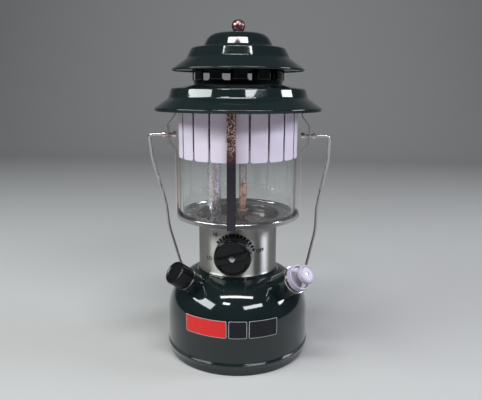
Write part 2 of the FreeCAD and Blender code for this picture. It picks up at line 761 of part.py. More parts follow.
def control_knob():
    """Hollow fluted knob with a raised pointer bar across its face and a hub on the stem."""
    face_r = knob_r - knob_taper
    shell = turned((0, knob_back), (knob_r, knob_back), (face_r + 0.2, knob_face - 2),
                   ((face_r - 0.4, knob_face - 0.5), (face_r - 2, knob_face)),
                   (face_r - 3.5, knob_face - 0.8), (0, knob_face - 0.8))
    bar = Part.makeBox(2 * (face_r - knob_bar_inset), knob_bar_width, knob_bar_height + 1,
                       V(knob_bar_inset - face_r, -knob_bar_width / 2, knob_face - knob_bar_root))
    bar = bar.makeFillet(knob_bar_bend, [e for e in bar.Edges if e.CenterOfMass.z > knob_face])
    bar = around(bar, knob_bar_turn)
    shell = shell.cut(flutes(knob_flutes, knob_r + flute_r * 0.55, flute_r, knob_back, knob_face - 2.5))
    hollow = turned((knob_hub_r, knob_back), (knob_r - knob_wall - 0.6, knob_back),
                    (face_r - knob_wall - 0.6, knob_face - 3), (knob_hub_r, knob_face - 3))
    seat = screw_seat()
    holes = [rod(stem_r + seam, knob_back, stem_outer + seam), rod(screw_r + seam, knob_back, seat),
             rod(screw_head_r + seam, seat, knob_face + 10)]
    return on_knob(shell.fuse(bar).cut([hollow] + holes).removeSplitter())


def valve_stem():
    seat = screw_seat()
    stem = turned((0, stem_inner), (stem_r, stem_inner + stem_r * 1.6), (stem_r, stem_outer), (0, stem_outer))
    return on_knob(stem.cut(rod(screw_r, seat - screw_length, stem_outer)))


def knob_screw():
    seat = screw_seat()
    head = turned((0, seat), (screw_head_r, seat), (screw_head_r, seat + screw_head * 0.5),
                  domed(screw_head_r, seat + screw_head * 0.5, seat + screw_head))
    slot = Part.makeBox(2 * screw_head_r, 0.8, screw_head, V(-screw_head_r, -0.4, seat + screw_head * 0.5))
    return on_knob(head.cut(slot).fuse(rod(screw_r - seam, seat - screw_length, seat)))


# Pump plunger and air stem

def pump_knob():
    """Round button on the rod's outer end, with a hole that shows the air stem."""
    back = plunger_back()
    front = back + plunger_length
    body = turned((0, back), (plunger_r - 2, back), (plunger_r, back + 2),
                  (plunger_r, front - 1.4), ((plunger_r - 0.5, front - 0.4), (plunger_r - 1.6, front)),
                  (plunger_r - 3, front - 0.5), (0, front - 0.5))
    return on_pump(body.cut([rod(rod_r + seam, back, front - rod_cover), rod(air_stem_r + fit, back, front)]))


def pump_rod():
    """Hollow rod between the button and the leather cup."""
    outer = plunger_back() + plunger_length - rod_cover - seam
    return on_pump(pipe(rod_r, air_stem_r + fit, rod_inner_end, outer))


def pump_cup():
    """Leather cup that works as the piston, open towards the inner end."""
    outer_r = barrel_r - barrel_wall - fit
    bore = air_stem_r + fit
    high = rod_inner_end
    low = high - cup_length
    return on_pump(turned((bore, high - 2), (bore, high), (outer_r - 1.4, high),
                          ((outer_r - 0.3, high - 0.5), (outer_r, high - 1.8)), (outer_r, low),
                          (outer_r - 0.9, low), (outer_r - 1.5, high - 2)))


def cup_washer():
    """Washer that backs the cup on the rod."""
    return on_pump(pipe(rod_r + 2.6, rod_r + seam, rod_inner_end, rod_inner_end + 1.4))


def air_stem():
    """Thin stem inside the rod, from the check valve to the button's hole."""
    inner = barrel_inner_end - check_seat + 0.3
    outer = plunger_back() + plunger_length - stem_depth
    return on_pump(turned((0, inner), (air_stem_r, inner + 1.5), (air_stem_r, outer), (0, outer)))


# Fuel cap

def fuel_cap():
    """Ribbed cap that screws over the filler neck."""
    low = cap_mouth + neck_flange + cap_skirt
    shell = turned((neck_r + fit, low), (cap_r, low), (cap_r, cap_end - 1.6),
                   ((cap_r - 0.5, cap_end - 0.5), (cap_r - 1.6, cap_end)), (cap_r - 3.5, cap_end - 0.6),
                   (0, cap_end - 0.6), (0, cap_end - cap_top), (neck_r + fit, cap_end - cap_top))
    return on_filler(shell.cut(flutes(cap_flutes, cap_r + cap_flute_r * 0.5, cap_flute_r, low - 1, cap_end - 2.2)))


def cap_gasket():
    """Sealing insert under the cap: a disc on the neck's end with a plug in its bore."""
    top = neck_end + seam + gasket_thick
    return on_filler(turned((0, neck_end - plug_length), (neck_bore_r - 0.8, neck_end - plug_length),
                            (neck_bore_r - 0.4, neck_end - plug_length + 1), (neck_bore_r - 0.4, neck_end + seam),
                            (neck_r - 0.2, neck_end + seam), (neck_r - 0.2, top), (0, top)))


pieces = {
    "fount_shell": fount_shell(), "fount_base": fount_base(), "filler_neck": filler_neck(),
    "pump_barrel": pump_barrel(), "check_valve": check_valve(), "pump_clip": pump_clip(),
    "pump_cap": pump_cap(), "valve_body": valve_body(), "packing_nut": packing_nut(),
    "pickup_tube": pickup_tube(), "collar": collar(), "frame_base": frame_base(),
    "upright_front": around(upright(False), -90), "upright_back": around(upright(False), 90),
    "upright_right": upright(True), "upright_left": around(upright(True), 180),
    "frame_rivets": frame_rivets(), "air_tube": air_tube(), "burner_manifold": burner_manifold(),
    "burner_caps": burner_caps(), "burner_screens": burner_screens(), "mantles": mantles(),
    "generator": generator(), "generator_nut": generator_nut(), "centre_stud": centre_stud(),
    "stud_lock_nut": stud_lock_nut(), "ventilator_cap": ventilator_cap(), "ventilator_drum": ventilator_drum(),
    "ventilator_skirt": ventilator_skirt(), "ball_nut": ball_nut(), "globe": globe(),
    "bail_wire": bail_wire(), "bail_heads": bail_heads(), "bail_collars": bail_collars(),
    "control_knob": control_knob(), "valve_stem": valve_stem(), "knob_screw": knob_screw(),
    "pump_knob": pump_knob(), "pump_rod": pump_rod(), "pump_cup": pump_cup(), "cup_washer": cup_washer(),
    "air_stem": air_stem(), "fuel_cap": fuel_cap(), "cap_gasket": cap_gasket(),
}

os.makedirs("parts", exist_ok=True)
for name, shape in pieces.items():
    shape.exportStep("parts/" + name + ".step")
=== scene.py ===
"""White gas lantern: finishes, mantles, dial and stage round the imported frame, in metres."""
from math import cos, degrees, pi, radians, sin

import bmesh
import bpy
import numpy as np
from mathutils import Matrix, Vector


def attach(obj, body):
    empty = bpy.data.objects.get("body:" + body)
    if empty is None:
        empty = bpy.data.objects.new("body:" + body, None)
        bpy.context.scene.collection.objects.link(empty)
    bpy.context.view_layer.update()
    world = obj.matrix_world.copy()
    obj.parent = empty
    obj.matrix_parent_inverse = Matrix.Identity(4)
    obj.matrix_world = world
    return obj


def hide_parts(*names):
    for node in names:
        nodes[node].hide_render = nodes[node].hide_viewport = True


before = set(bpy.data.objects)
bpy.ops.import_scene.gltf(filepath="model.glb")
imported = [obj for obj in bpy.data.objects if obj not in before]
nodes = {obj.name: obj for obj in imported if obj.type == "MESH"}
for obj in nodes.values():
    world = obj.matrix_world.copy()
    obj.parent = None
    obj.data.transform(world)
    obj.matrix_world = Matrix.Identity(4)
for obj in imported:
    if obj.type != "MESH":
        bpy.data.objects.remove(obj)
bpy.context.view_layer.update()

bl_info = {
    "name": "White Gas Lantern",
    "version": (1, 0, 0),
    "blender": (4, 5, 0),
    "location": "View3D > Sidebar > Lantern",
    "description": "Finishes, mantles, dial, label and studio of a two-mantle white gas lantern",
    "category": "Object",
}

MM = 0.001

# Places on the frame. Azimuths are measured round Z from the front (-Y), positive towards +X.
FOUNT_R = 76.6 * MM
BEAD_Z = 11.3 * MM
COLLAR_R = 42.0 * MM
GLOBE_R = 62.0 * MM
KNOB_Z = 117.4 * MM
BURNER_X = 5.5 * MM
BURNER_Y = 24.0 * MM
AIR_TUBE_X = -25.5 * MM

INK_LIFT = 0.07 * MM                # outer face of the dial's print over the collar
INK_DEPTH = 0.06 * MM
LETTER_WEIGHT = 0.17 * MM           # growth of the letters' outlines
FROST_LIFT = 0.08 * MM
LABEL_DEPTH = 0.04 * MM
STEEP = (0.123, 0.234, 0.964)       # a direction that no cord runs along
CORD_SIDES = 8

DUST_GREY = (0.30, 0.30, 0.28)
# Dark colour painted as shade at the foot of heated steel.
FOOT_SHADE = (0.065, 0.058, 0.075)
INK_BLACK = (0.006, 0.007, 0.010)


# Surfaces

def cylinder_place(azimuth, height, radius):
    """Points on an upright cylinder: (radius sin a, -radius cos a, height)."""
    return np.stack([radius * np.sin(azimuth), -radius * np.cos(azimuth), height + 0 * azimuth], -1)


def grid_quads(rows, columns, ring=False):
    """Quads between neighbouring points of a rows x columns grid, whose rows close on themselves in a ring."""
    row, column = np.meshgrid(np.arange(rows - 1), np.arange(columns - (not ring)), indexing="ij")
    below, beside = row + 1, (column + 1) % columns
    return np.stack([row * columns + column, row * columns + beside, below * columns + beside,
                     below * columns + column], -1).reshape(-1, 4)


def cord(path, radius):
    """Round cord on a path: centre + r (side cos t + up sin t), side and up square to the path, and r = radius
    except for a point at either end. Points and quads."""
    step = np.gradient(path, axis=0)
    along = step / np.linalg.norm(step, axis=1, keepdims=True)
    lean = np.cross(along, STEEP)
    side = lean / np.linalg.norm(lean, axis=1, keepdims=True)
    up = np.cross(along, side)
    t = np.linspace(0, 2 * pi, CORD_SIDES, endpoint=False)[:, None]
    r = np.full((len(path), 1, 1), radius)
    r[[0, -1]] = 0.0
    points = path[:, None] + r * (side[:, None] * np.cos(t) + up[:, None] * np.sin(t))
    return points, grid_quads(len(path), CORD_SIDES, ring=True)


def rounded_patch(width, height, corner, columns):
    """Rounded rectangle as a grid (across, up): each row is as wide as the corner arcs leave it."""
    arc = np.linspace(0, pi / 2, 7)
    rise = corner * (1 - np.cos(arc))
    up = np.concatenate([rise, np.linspace(corner, height - corner, 8)[1:-1], height - rise[::-1]]) - height / 2
    inset = corner - np.sqrt(np.maximum(0, corner ** 2 - np.maximum(0, np.abs(up) - height / 2 + corner) ** 2))
    across = np.linspace(-0.5, 0.5, columns)
    return (width - 2 * inset[:, None]) * across, up[:, None] + 0 * across


def wrapped(across, up, radius, azimuth, height):
    """A flat patch bent round an upright cylinder, its middle at an azimuth (degrees) and height: across / radius
    is added to the azimuth, and up to the height."""
    return cylinder_place(radians(azimuth) + across / radius, height + up, radius)


def onto_collar(x, z):
    """Points (x, z) of the plane in front of the lantern pushed straight back onto the collar's print, to
    y = minus the root of r squared - x squared."""
    r = COLLAR_R + INK_LIFT
    return np.stack([x, -np.sqrt(r * r - x * x), z], -1)


def build_mesh(name, parts):
    """Mesh from (points, quads) pairs of arrays, one after the other."""
    mesh = bpy.data.meshes.new(name)
    points, quads, start = [], [], 0
    for some, faces in parts:
        flat = np.asarray(some, float).reshape(-1, 3)
        points.append(flat)
        quads.append(faces + start)
        start += len(flat)
    points, quads = np.concatenate(points), np.concatenate(quads)
    mesh.from_pydata(points.tolist(), [], quads.tolist())
    return mesh


def tidy_mesh(mesh, outward=True):
    """Closes seams and poles, points the faces outwards and shades them smooth."""
    work = bmesh.new()
    work.from_mesh(mesh)
    bmesh.ops.remove_doubles(work, verts=work.verts, dist=1e-6)
    if outward:
        bmesh.ops.recalc_face_normals(work, faces=work.faces)
    work.to_mesh(mesh)
    work.free()
    mesh.shade_smooth()


def add_piece(mesh, body, finish, outward=True):
    """New piece from a mesh, tidied, painted and riding on a body of the frame."""
    tidy_mesh(mesh, outward)
    piece = bpy.data.objects.new(mesh.name, mesh)
    bpy.context.scene.collection.objects.link(piece)
    mesh.materials.append(finish)
    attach(piece, body)
    return piece


def thicken(piece, thickness):
    """Gives a sheet its wall, inwards of its points."""
    wall = piece.modifiers.new("Wall", "SOLIDIFY")
    wall.thickness = thickness
    wall.offset = -1.0
    wall.use_even_offset = True


def film(name, parts, body, finish, thickness=INK_DEPTH):
    """Thin printed or coated film on a surface."""
    thicken(add_piece(build_mesh(name, parts), body, finish, outward=False), thickness)


# Shader maths

class Number:
    """A number that varies over a surface. Python sums of it add Math nodes."""

    def __init__(self, finish, socket):
        self.finish, self.socket = finish, socket

    def math(self, operation, *values):
        return self.finish.number("ShaderNodeMath", {"operation": operation}, dict(enumerate(values)))

    def __add__(self, other):
        return self.math("ADD", self, other)

    def __sub__(self, other):
        return self.math("SUBTRACT", self, other)

    def __rsub__(self, other):
        return self.math("SUBTRACT", other, self)

    def __mul__(self, other):
        return self.math("MULTIPLY", self, other)

    def __truediv__(self, other):
        return self.math("DIVIDE", self, other)

    def __rtruediv__(self, other):
        return self.math("DIVIDE", other, self)

    def __mod__(self, other):
        return self.math("FLOORED_MODULO", self, other)

    def __rmod__(self, other):
        return self.math("FLOORED_MODULO", other, self)

    def __abs__(self):
        return self.math("ABSOLUTE", self)

    __radd__ = __add__
    __rmul__ = __mul__


class Finish:
    """A material whose patterns follow the piece's own place: x, y, z in metres."""

    def __init__(self, name, base, **constants):
        self.material = bpy.data.materials.new(name)
        self.material.use_nodes = True
        self.tree = self.material.node_tree
        self.shader = self.tree.nodes["Principled BSDF"]
        self.set("Base Color", base)
        for socket, value in constants.items():
            self.set(socket.replace("_", " "), value)
        self.place = self.add("ShaderNodeTexCoord").outputs["Object"]
        split = self.add("ShaderNodeSeparateXYZ", inputs={0: self.place})
        self.x, self.y, self.z = (Number(self, socket) for socket in split.outputs)

    def add(self, kind, settings=None, inputs=None):
        """Node of a kind: its settings first, then the values or links of its sockets."""
        node = self.tree.nodes.new(kind)
        for name, value in (settings or {}).items():
            setattr(node, name, value)
        for name, value in (inputs or {}).items():
            self.feed(node.inputs[name], value)
        return node

    def feed(self, socket, value):
        """Links a varying value to a socket, or sets a constant on it."""
        value = value.socket if isinstance(value, Number) else value
        if isinstance(value, bpy.types.NodeSocket):
            self.tree.links.new(value, socket)
        elif isinstance(value, tuple) and len(value) == 3 and socket.type == "RGBA":
            socket.default_value = (*value, 1.0)
        else:
            socket.default_value = value

    def set(self, socket, value):
        self.feed(self.shader.inputs[socket], value)

    def number(self, kind, settings=None, inputs=None):
        return Number(self, self.add(kind, settings, inputs).outputs[0])

    def noise(self, size, detail=3.0, stretch=(1, 1, 1), turn=(0, 0, 0)):
        """Noise with features of a size in metres, stretched along the axes."""
        scale = tuple(1 / (size * s) for s in stretch)
        moved = self.add("ShaderNodeMapping", {}, {"Vector": self.place, "Rotation": turn, "Scale": scale})
        return self.number("ShaderNodeTexNoise", {}, {"Vector": moved.outputs[0], "Scale": 1.0, "Detail": detail})

    def step(self, value, low, high):
        """0 below low, 1 above high, smooth between."""
        return self.number("ShaderNodeMapRange", {"interpolation_type": "SMOOTHSTEP"},
                           {"Value": value, "From Min": low, "From Max": high})

    def blend(self, factor, below, above):
        """Colour between two colours."""
        node = self.add("ShaderNodeMix", {"data_type": "RGBA"}, {0: factor, 6: below, 7: above})
        return node.outputs[2]

    def bump(self, height, depth, strength=1.0):
        """Relief from a height between 0 and 1 over a depth in metres."""
        node = self.add("ShaderNodeBump", {}, {"Strength": strength, "Distance": depth, "Height": height})
        self.set("Normal", node.outputs["Normal"])


# Finishes

def darker(colour, share):
    """A share of a colour."""
    return tuple(share * c for c in colour)


def enamel(colour):
    """Baked gloss enamel: a faint orange peel, fine dust and a fillet of paint over the fount's bead."""
    finish = Finish("Green enamel", colour, Coat_Weight=1.0, Coat_Roughness=0.025, Coat_IOR=1.45,
                    Specular_IOR_Level=0.15)
    cloud = finish.noise(50 * MM, 2.0)
    dust = finish.step(finish.noise(0.6 * MM, 1.0), 0.74, 0.80) * finish.step(finish.noise(12 * MM, 3.0), 0.45, 0.7)
    body = finish.blend(cloud, darker(colour, 0.72), colour)
    finish.set("Base Color", finish.blend(dust * 0.25, body, DUST_GREY))
    finish.set("Roughness", 0.07 + finish.noise(20 * MM, 4.0) * 0.05 + dust * 0.2)
    fillet = 1 - finish.step(finish.z, BEAD_Z - 1.5 * MM, BEAD_Z + 4.3 * MM)
    orange_peel = finish.noise(3.5 * MM, 1.0) * 0.007
    finish.bump(fillet + orange_peel, 1.5 * MM)
    return finish.material


def plated(name, colour, roughness, wear=0.5, grain=4 * MM):
    """Plated sheet steel: cloudy gloss, fine scratches and dull specks."""
    finish = Finish(name, colour, Metallic=1.0)
    cloud = finish.noise(12 * MM, 4.0)
    scratch = finish.noise(grain, 2.0, (1, 1, 14), (0.2, 0.5, 0.1))
    patches = finish.step(finish.noise(20 * MM, 3.0), 0.42, 0.62)
    specks = finish.step(finish.noise(1.2 * MM, 2.0), 0.62, 0.72) * patches
    finish.set("Base Color", finish.blend(specks * wear + cloud * 0.15, colour, darker(colour, 0.45)))
    finish.set("Roughness", roughness * 0.6 + cloud * roughness * 0.7 + specks * wear * 0.25)
    finish.bump(scratch, 0.02 * MM, 0.25)
    return finish.material


def shaded_dish(bright, brown):
    """Plated dish: bright rim, and a floor inside it darkened brown with painted shade, in faint rings."""
    finish = Finish("Browned dish", bright, Metallic=1.0)
    square = finish.x * finish.x + finish.y * finish.y
    radius = square.math("SQRT", square)
    pitch = 9 * MM
    ring = abs((radius + finish.noise(20 * MM, 2.0) * (3 * MM)) % pitch - pitch / 2) * (2 / pitch)
    # Painted shade over the floor inside the rim, varied in rings.
    floor = 1 - finish.step(radius, 56 * MM, 61 * MM)
    finish.set("Base Color", finish.blend(floor * (0.8 + ring * 0.2), bright, brown))
    finish.set("Roughness", 0.10 + finish.noise(6 * MM, 4.0) * 0.10 + floor * ring * 0.08)
    finish.bump(finish.noise(4 * MM, 3.0), 0.04 * MM, 0.3)
    return finish.material


def spangled_tube(bright, warm):
    """Plated tube: small spangles, and the warm line of its brazed seam down the front."""
    finish = Finish("Spangled tube", bright, Metallic=1.0)
    spangle = finish.step(finish.noise(1.8 * MM, 3.0, (1, 1, 2)), 0.46, 0.60)
    wander = (finish.noise(4 * MM, 2.0) - 0.5) * (2 * MM)
    seam = 1 - finish.step(abs(finish.x - AIR_TUBE_X + wander), 0.7 * MM, 2.0 * MM)
    front = finish.step(0 - finish.y, 1 * MM, 3 * MM)
    plate = finish.blend(spangle * 0.35, bright, darker(bright, 0.5))
    finish.set("Base Color", finish.blend(seam * front * 0.6, plate, warm))
    finish.set("Roughness", 0.24 + spangle * 0.10)
    finish.bump(spangle, 0.01 * MM, 0.15)
    return finish.material


def heat_tinted(name, cold, warm, low, high, roughness):
    """Steel that the burner has coloured: painted shade darkening it towards the foot, pale specks above low, brown
    above high.
    """
    finish = Finish(name, cold, Metallic=1.0)
    height = finish.z + (finish.noise(8 * MM, 3.0) - 0.5) * (16 * MM)
    heat = finish.step(height, high - 4 * MM, high + 4 * MM)
    fleck = finish.step(finish.noise(1.6 * MM, 3.0), 0.48, 0.56) * finish.step(height, low - 12 * MM, low + 4 * MM)
    # Painted shade below low, fading into the warm heat tint above it.
    tint_and_foot_shade = finish.blend(finish.step(height, low - 20 * MM, low), FOOT_SHADE, warm)
    body = finish.blend(fleck, tint_and_foot_shade, cold)
    finish.set("Base Color", finish.blend(heat, body, warm))
    finish.set("Roughness", roughness + finish.noise(6 * MM, 3.0) * 0.2)
    finish.bump(finish.noise(1.5 * MM, 2.0), 0.03 * MM, 0.4)
    return finish.material


def brushed(name, colour):
    """Band brushed round its middle line: fine level lines that draw highlights upright."""
    finish = Finish(name, colour, Metallic=1.0, Anisotropic=1.0, Anisotropic_Rotation=0.25)
    lines = finish.noise(0.35 * MM, 2.0, (60, 60, 1))
    cloud = finish.noise(15 * MM, 3.0)
    finish.set("Base Color", finish.blend(lines * 0.35 + cloud * 0.12, colour, darker(colour, 0.55)))
    finish.set("Roughness", 0.36 + lines * 0.06 + cloud * 0.05)
    finish.bump(lines, 0.004 * MM, 0.3)
    return finish.material


def aged_brass(name, colour, dull):
    """Brass gone brown in patches."""
    finish = Finish(name, colour, Metallic=1.0)
    patch = finish.step(finish.noise(6 * MM, 4.0), 0.40, 0.68)
    finish.set("Base Color", finish.blend(patch, colour, dull))
    finish.set("Roughness", 0.24 + patch * 0.24)
    finish.bump(finish.noise(1.2 * MM, 3.0), 0.03 * MM, 0.3)
    return finish.material


def generator_finish():
    """Copper-coloured foot, and a steel tube with a violet heat tint above it."""
    copper = (0.82, 0.50, 0.38)
    finish = Finish("Generator", copper, Metallic=1.0)
    upper = finish.step(finish.z, 183.3 * MM, 185.3 * MM)
    patch = finish.step(finish.noise(5 * MM, 4.0), 0.4, 0.65)
    low = finish.blend(patch, copper, (0.52, 0.29, 0.22))
    high = finish.blend(patch, (0.70, 0.58, 0.60), (0.48, 0.38, 0.42))
    finish.set("Base Color", finish.blend(upper, low, high))
    finish.set("Roughness", 0.26 + patch * 0.14)
    finish.bump(finish.noise(1 * MM, 3.0), 0.02 * MM, 0.3)
    return finish.material


def moulded(name, colour, roughness, scuff=0.15, shine=0.5):
    """Moulded plastic: a fine skin, a few scuffs and cloudy dust."""
    finish = Finish(name, colour, Specular_IOR_Level=shine)
    marks = finish.step(finish.noise(3 * MM, 3.0, (1, 6, 1), (0.4, 0.2, 0.9)), 0.58, 0.70)
    cloud = finish.noise(10 * MM, 3.0)
    pale = tuple(min(1.0, c * 1.35 + 0.01) for c in colour)
    finish.set("Base Color", finish.blend(marks * scuff + cloud * 0.10, colour, pale))
    finish.set("Roughness", roughness * 0.85 + cloud * 0.08 + marks * scuff)
    finish.bump(finish.noise(0.5 * MM, 2.0), 0.01 * MM, 0.35)
    return finish.material


def threaded(name, colour, pitch):
    """Rod with a rolled thread: level rings in its relief, and painted shade in their roots."""
    finish = Finish(name, colour, Metallic=1.0)
    ring = abs((finish.z / pitch) % 1.0 - 0.5) * 2
    # Painted shade: the roots of the thread darkened.
    finish.set("Base Color", finish.blend(ring, darker(colour, 0.35), colour))
    finish.set("Roughness", 0.28 + finish.noise(4 * MM, 3.0) * 0.15)
    finish.bump(ring, 0.3 * MM, 0.8)
    return finish.material


def clear_glass():
    """Clear heat-proof glass with the faintest ripple and a few dust specks."""
    finish = Finish("Clear glass", (0.985, 0.995, 0.99), IOR=1.47, Transmission_Weight=1.0)
    finish.set("Roughness", finish.step(finish.noise(0.8 * MM, 1.0), 0.76, 0.80) * 0.3)
    finish.bump(finish.noise(20 * MM, 1.0), 0.1 * MM, 0.10)
    return finish.material


def frosting(colour):
    """White fired-on coating: matt and a little cloudy."""
    finish = Finish("White frosting", colour)
    cloud = finish.noise(12 * MM, 4.0)
    grain = finish.noise(0.4 * MM, 2.0)
    finish.set("Base Color", finish.blend(cloud * 0.35, colour, darker(colour, 0.86)))
    finish.set("Roughness", 0.45 + grain * 0.2)
    finish.bump(grain, 0.02 * MM, 0.4)
    return finish.material


def knitted(colour):
    """Mantle cloth: a fine square knit of threads and holes on the piece's own map, the holes painted dark as the
    shade seen through them.
    """
    finish = Finish("Mantle cloth", colour, Sheen_Weight=0.3, Sheen_Roughness=0.5)
    cloth_map = finish.add("ShaderNodeUVMap", {"uv_map": "cloth"}).outputs[0]
    split = finish.add("ShaderNodeSeparateXYZ", inputs={0: cloth_map})
    across, up, _ = (Number(finish, socket) for socket in split.outputs)
    warps, wefts = 110, 52
    warp = abs((across * warps) % 1.0 - 0.5) * 2
    stagger = finish.step(abs((across * (warps / 2)) % 1.0 - 0.5), 0.2, 0.3) * 0.5
    weft = abs((up * wefts + stagger) % 1.0 - 0.5) * 2
    thread = warp.math("MAXIMUM", warp, weft)
    hole = 1 - finish.step(thread, 0.45, 0.72)
    # Painted shade in the knit's holes.
    finish.set("Base Color", finish.blend(hole, colour, darker(colour, 0.42)))
    finish.set("Roughness", 0.8 + finish.noise(4 * MM, 2.0) * 0.15)
    finish.bump(thread, 0.25 * MM, 0.9)
    return finish.material


def printed(name, colour, roughness=0.28):
    """Printed film: even ink with slight wear."""
    finish = Finish(name, colour, Specular_IOR_Level=0.25)
    rub = finish.step(finish.noise(4 * MM, 4.0), 0.55, 0.75)
    finish.set("Base Color", finish.blend(rub * 0.22, colour, tuple(0.7 * c + 0.02 for c in colour)))
    finish.set("Roughness", roughness + rub * 0.15)
    finish.bump(finish.noise(0.8 * MM, 2.0), 0.01 * MM, 0.3)
    return finish.material


def paint(finish, *names):
    """Gives CAD nodes their finish."""
    for name in names:
        for slot in nodes[name].material_slots:
            slot.material = finish


# Settings

class LanternSizes(bpy.types.PropertyGroup):
    """Sizes of what the frame doesn't hold."""
    panel_count: bpy.props.IntProperty(
        name="Frosted panels", description="White panels round the globe", default=20, min=4, max=60)
    panel_gap: bpy.props.FloatProperty(
        name="Panel gap", description="Clear gap between two panels", default=2.0 * MM, unit="LENGTH")
    panel_low: bpy.props.FloatProperty(
        name="Panel foot", description="Height of the panels' lower edge", default=212.8 * MM, unit="LENGTH")
    panel_high: bpy.props.FloatProperty(
        name="Panel head", description="Height of the panels' upper edge", default=266.4 * MM, unit="LENGTH")
    panel_turn: bpy.props.FloatProperty(
        name="Panel turn", description="Azimuth of one gap", default=radians(-2.5), unit="ROTATION")
    label_height: bpy.props.FloatProperty(
        name="Label height", description="Height of the label's fields", default=18.2 * MM, unit="LENGTH")
    label_middle: bpy.props.FloatProperty(
        name="Label middle", description="Height of the label's middle", default=50.3 * MM, unit="LENGTH")
    tick_ring: bpy.props.FloatProperty(
        name="Tick ring", description="Radius of the dial's ticks round the knob", default=19.5 * MM, unit="LENGTH")
    word_height: bpy.props.FloatProperty(
        name="Word height", description="Height of the dial's letters", default=5.4 * MM, unit="LENGTH")
    mantle_radius: bpy.props.FloatProperty(
        name="Mantle radius", description="Widest radius of a mantle", default=15.2 * MM, unit="LENGTH")


class LanternColours(bpy.types.PropertyGroup):
    """Main colours of the lantern."""
    enamel: bpy.props.FloatVectorProperty(
        name="Enamel", description="Fount and ventilator", subtype="COLOR", size=3, default=(0.008, 0.0145, 0.0155))
    plate: bpy.props.FloatVectorProperty(
        name="Plate", description="Filler neck and pump barrel", subtype="COLOR", size=3, default=(0.78, 0.75, 0.72))
    brass: bpy.props.FloatVectorProperty(
        name="Brass", description="Valve, nuts and fuel pickup", subtype="COLOR", size=3, default=(0.68, 0.47, 0.30))
    black: bpy.props.FloatVectorProperty(
        name="Black plastic", description="Knob and fuel cap", subtype="COLOR", size=3, default=(0.006, 0.006, 0.007))
    pump: bpy.props.FloatVectorProperty(
        name="Pump plastic", description="Pump cap and button", subtype="COLOR", size=3, default=(0.36, 0.32, 0.41))
    label: bpy.props.FloatVectorProperty(
        name="Label red", description="Red field of the label", subtype="COLOR", size=3, default=(0.62, 0.024, 0.024))
    frosting: bpy.props.FloatVectorProperty(
        name="Frosting", description="Panels of the globe", subtype="COLOR", size=3, default=(0.75, 0.66, 0.79))


def sizes():
    """The sizes of the sidebar."""
    return bpy.context.scene.lantern_sizes


def chosen(name):
    """A colour of the sidebar."""
    return tuple(getattr(bpy.context.scene.lantern_colours, name))


class Step:
    """What every step of the lantern shares."""
    bl_options = {"REGISTER", "UNDO"}

    def execute(self, context):
        self.make()
        return {"FINISHED"}


class LANTERN_OT_enamel(Step, bpy.types.Operator):
    """Paint the fount and the ventilator"""
    bl_idname = "lantern.enamel"
    bl_label = "Enamelled Steel"

    def make(self):
        paint(enamel(chosen("enamel")), "fount_shell", "fount_base", "ventilator_cap", "ventilator_drum",
              "ventilator_skirt")
        paint(aged_brass("Oxidised copper", (0.27, 0.155, 0.155), (0.14, 0.075, 0.075)), "ball_nut")


class LANTERN_OT_frame(Step, bpy.types.Operator):
    """Plate the dish, the uprights and the bail"""
    bl_idname = "lantern.frame"
    bl_label = "Frame and Bail"

    def make(self):
        paint(plated("Bright plate", chosen("plate"), 0.20), "filler_neck", "pump_barrel")
        paint(plated("Pink plate", (0.78, 0.67, 0.64), 0.24, 0.3), "frame_rivets", "upright_left", "upright_right",
              "bail_heads", "bail_collars")
        paint(shaded_dish((0.62, 0.59, 0.62), (0.20, 0.17, 0.17)), "frame_base")
        paint(heat_tinted("Heated strip", (1.0, 0.76, 0.72), (0.20, 0.085, 0.075), 227.5 * MM, 268 * MM, 0.20),
              "upright_front", "upright_back")
        paint(plated("Bail wire", (0.56, 0.54, 0.55), 0.32, 0.7, 2 * MM), "bail_wire")
        paint(plated("Clip wire", (0.24, 0.23, 0.23), 0.30), "pump_clip")


class LANTERN_OT_collar(Step, bpy.types.Operator):
    """Brush the collar and print the dial's ticks and words on it"""
    bl_idname = "lantern.collar"
    bl_label = "Collar and Dial"

    WORDS = (("dial_off", "OFF", 26.4 * MM, 118.9 * MM), ("dial_high", "HI", -19.5 * MM, 136.1 * MM),
             ("dial_low", "LO", -26.7 * MM, 109.0 * MM))

    def make(self):
        paint(brushed("Brushed collar", (0.54, 0.53, 0.50)), "collar")
        ink = printed("Black dial ink", (0.006, 0.006, 0.006), 0.55)
        film("dial_ticks", [self.tick(radians(turn)) for turn in np.linspace(-57, 80, 13)], "lantern", ink)
        for name, text, x, z in self.WORDS:
            self.word(name, text, x, z, ink)

    def tick(self, turn):
        """Rounded bar (across, up) that stands on the ring over the knob's middle, turned round that middle:
        x = across cos t + up sin t, z = up cos t - across sin t."""
        across, up = rounded_patch(3.0 * MM, 3.4 * MM, 0.3 * MM, 6)
        up = up + sizes().tick_ring
        x = across * np.cos(turn) + up * np.sin(turn)
        z = KNOB_Z - across * np.sin(turn) + up * np.cos(turn)
        return onto_collar(x, z), grid_quads(*x.shape)

    def word(self, name, text, x, z, ink):
        """Letters bent round the collar, their middle at (x, z): across / radius is added to the azimuth of x."""
        letters = bpy.data.curves.new(name, "FONT")
        letters.body, letters.size, letters.offset = text, sizes().word_height, LETTER_WEIGHT
        letters.align_x = letters.align_y = "CENTER"
        writer = bpy.data.objects.new(name + "_text", letters)
        mesh = bpy.data.meshes.new_from_object(writer)
        bpy.data.objects.remove(writer)
        flat = np.zeros(len(mesh.vertices) * 3)
        mesh.vertices.foreach_get("co", flat)
        across, up, _ = flat.reshape(-1, 3).T
        azimuth = np.arcsin(x / COLLAR_R) + across / COLLAR_R
        mesh.vertices.foreach_set("co", cylinder_place(azimuth, z + up, COLLAR_R + INK_LIFT).ravel())
        mesh.name = name
        mesh.materials.clear()
        thicken(add_piece(mesh, "lantern", ink, outward=False), INK_DEPTH)


